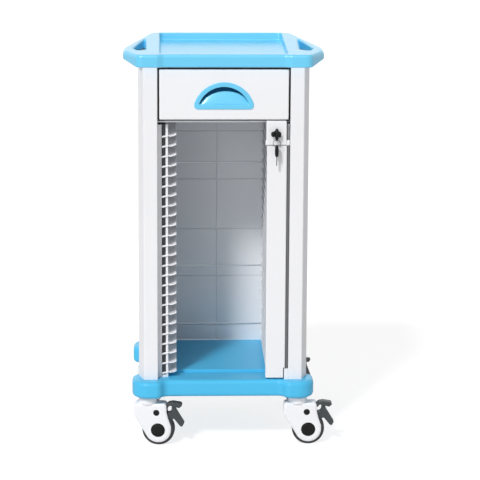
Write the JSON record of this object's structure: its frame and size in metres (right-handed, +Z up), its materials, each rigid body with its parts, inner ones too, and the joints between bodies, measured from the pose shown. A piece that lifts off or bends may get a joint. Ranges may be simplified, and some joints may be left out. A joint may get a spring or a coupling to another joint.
{
  "type": "medical chart rack",
  "caption": "Hospital chart rack trolley: a column of chart ledges behind a hinged lock bar, a top drawer, a recessed tray with loop handles and braked swivel castors.",
  "frame": {"origin": "on the floor, midway between the four castor pivots", "axes": "+Z up, -Y towards the user at the open front, +X to the user's right"},
  "size_m": [0.5317, 0.4745, 0.999],
  "materials": {
    "blue_shell": "satin moulded plastic",
    "white_metal": "white powder coat",
    "white_plastic": "white moulded plastic",
    "panel_grey": "light grey panel",
    "steel": "zinc plated",
    "chrome": "polished",
    "black_plastic": "satin black",
    "dark_grey_plastic": "dark grey moulded",
    "tyre_grey": "dark rubber"
  },
  "bodies": {
    "frame": {"base_tray": "blue_shell", "base_frame": "steel", "front_left_column": "white_metal", "front_right_column": "white_metal", "rear_left_column": "white_metal", "rear_right_column": "white_metal", "column_tie_rods": "steel", "top_frame": "steel", "left_side_panel": "panel_grey", "right_side_panel": "panel_grey", "back_panel": "panel_grey", "back_panel_screws": "steel", "left_rack_plate": "white_plastic", "left_chart_ledges": "white_plastic", "left_rack_edge": "white_plastic", "right_rack_plate": "white_plastic", "right_chart_ledges": "white_plastic", "right_rack_edge": "white_plastic", "drawer_shelf": "panel_grey", "left_slide_outer": "steel", "right_slide_outer": "steel", "top_tray": "blue_shell", "lock_bar_lower_bracket": "white_plastic", "lock_bar_upper_bracket": "steel", "lock_strike": "steel"},
    "drawer": {"drawer_box": "panel_grey", "drawer_front": "white_plastic", "drawer_pull": "blue_shell", "left_slide_inner": "steel", "right_slide_inner": "steel", "drawer_front_screws": "steel"},
    "lock_bar": {"lock_bar": "white_metal", "lock_block": "white_plastic", "lock_body": "chrome", "lock_bar_pins": "steel"},
    "lock_key": {"lock_plug": "chrome", "lock_cam": "steel", "key": "black_plastic"},
    "key_ring": {"key_ring": "chrome"},
    "spare_key": {"spare_key": "black_plastic"},
    "front_left_castor": {"front_left_castor_fork": "white_plastic", "front_left_castor_axle": "black_plastic"},
    "front_left_wheel": {"front_left_castor_wheel": "dark_grey_plastic", "front_left_castor_tyre": "tyre_grey"},
    "front_left_brake": {"front_left_castor_pedal": "dark_grey_plastic"},
    "front_right_castor": {"front_right_castor_fork": "white_plastic", "front_right_castor_axle": "black_plastic"},
    "front_right_wheel": {"front_right_castor_wheel": "dark_grey_plastic", "front_right_castor_tyre": "tyre_grey"},
    "front_right_brake": {"front_right_castor_pedal": "dark_grey_plastic"},
    "rear_left_castor": {"rear_left_castor_fork": "white_plastic", "rear_left_castor_axle": "black_plastic"},
    "rear_left_wheel": {"rear_left_castor_wheel": "dark_grey_plastic", "rear_left_castor_tyre": "tyre_grey"},
    "rear_left_brake": {"rear_left_castor_pedal": "dark_grey_plastic"},
    "rear_right_castor": {"rear_right_castor_fork": "white_plastic", "rear_right_castor_axle": "black_plastic"},
    "rear_right_wheel": {"rear_right_castor_wheel": "dark_grey_plastic", "rear_right_castor_tyre": "tyre_grey"},
    "rear_right_brake": {"rear_right_castor_pedal": "dark_grey_plastic"}
  },
  "joints": [
    {"name": "drawer_slide", "type": "slide", "parent": "frame", "child": "drawer", "axis": [0, -1, 0], "range_m": [0, 0.26]},
    {"name": "lock_bar_hinge", "type": "hinge", "parent": "frame", "child": "lock_bar", "pos_m": [0.1602, -0.181, 0.5], "axis": [0, 0, 1], "range_deg": [0, 95]},
    {"name": "lock_turn", "type": "hinge", "parent": "lock_bar", "child": "lock_key", "pos_m": [0.13, -0.184, 0.8], "axis": [0, 1, 0], "range_deg": [0, 90]},
    {"name": "ring_swing", "type": "hinge", "parent": "lock_key", "child": "key_ring", "pos_m": [0.13, -0.201, 0.787], "axis": [1, 0, 0], "range_deg": [-60, 10]},
    {"name": "spare_key_swing", "type": "hinge", "parent": "key_ring", "child": "spare_key", "pos_m": [0.13, -0.201, 0.769], "axis": [1, 0, 0], "range_deg": [-40, 10]},
    {"name": "front_left_swivel", "type": "hinge", "parent": "frame", "child": "front_left_castor", "pos_m": [-0.1895, -0.1745, 0.14], "axis": [0, 0, 1], "continuous": true},
    {"name": "front_left_roll", "type": "hinge", "parent": "front_left_castor", "child": "front_left_wheel", "pos_m": [-0.16265, -0.17732, 0.041], "axis": [0.1045, 0.9945, 0], "continuous": true},
    {"name": "front_left_brake_pedal", "type": "hinge", "parent": "front_left_castor", "child": "front_left_brake", "pos_m": [-0.16663, -0.1769, 0.0865], "axis": [0.1045, 0.9945, 0], "range_deg": [0, 6]},
    {"name": "front_right_swivel", "type": "hinge", "parent": "frame", "child": "front_right_castor", "pos_m": [0.1895, -0.1745, 0.14], "axis": [0, 0, 1], "continuous": true},
    {"name": "front_right_roll", "type": "hinge", "parent": "front_right_castor", "child": "front_right_wheel", "pos_m": [0.2165, -0.17497, 0.041], "axis": [0.0175, 0.9998, 0], "continuous": true},
    {"name": "front_right_brake_pedal", "type": "hinge", "parent": "front_right_castor", "child": "front_right_brake", "pos_m": [0.2125, -0.1749, 0.0865], "axis": [0.0175, 0.9998, 0], "range_deg": [0, 6]},
    {"name": "rear_left_swivel", "type": "hinge", "parent": "frame", "child": "rear_left_castor", "pos_m": [-0.1895, 0.1745, 0.14], "axis": [0, 0, 1], "continuous": true},
    {"name": "rear_left_roll", "type": "hinge", "parent": "rear_left_castor", "child": "rear_left_wheel", "pos_m": [-0.176, 0.19788, 0.041], "axis": [-0.866, 0.5, 0], "continuous": true},
    {"name": "rear_left_brake_pedal", "type": "hinge", "parent": "rear_left_castor", "child": "rear_left_brake", "pos_m": [-0.178, 0.19442, 0.0865], "axis": [-0.866, 0.5, 0], "range_deg": [0, 6]},
    {"name": "rear_right_swivel", "type": "hinge", "parent": "frame", "child": "rear_right_castor", "pos_m": [0.1895, 0.1745, 0.14], "axis": [0, 0, 1], "continuous": true},
    {"name": "rear_right_roll", "type": "hinge", "parent": "rear_right_castor", "child": "rear_right_wheel", "pos_m": [0.20499, 0.19662, 0.041], "axis": [-0.8192, 0.5736, 0], "continuous": true},
    {"name": "rear_right_brake_pedal", "type": "hinge", "parent": "rear_right_castor", "child": "rear_right_brake", "pos_m": [0.20269, 0.19334, 0.0865], "axis": [-0.8192, 0.5736, 0], "range_deg": [0, 6]}
  ]
}
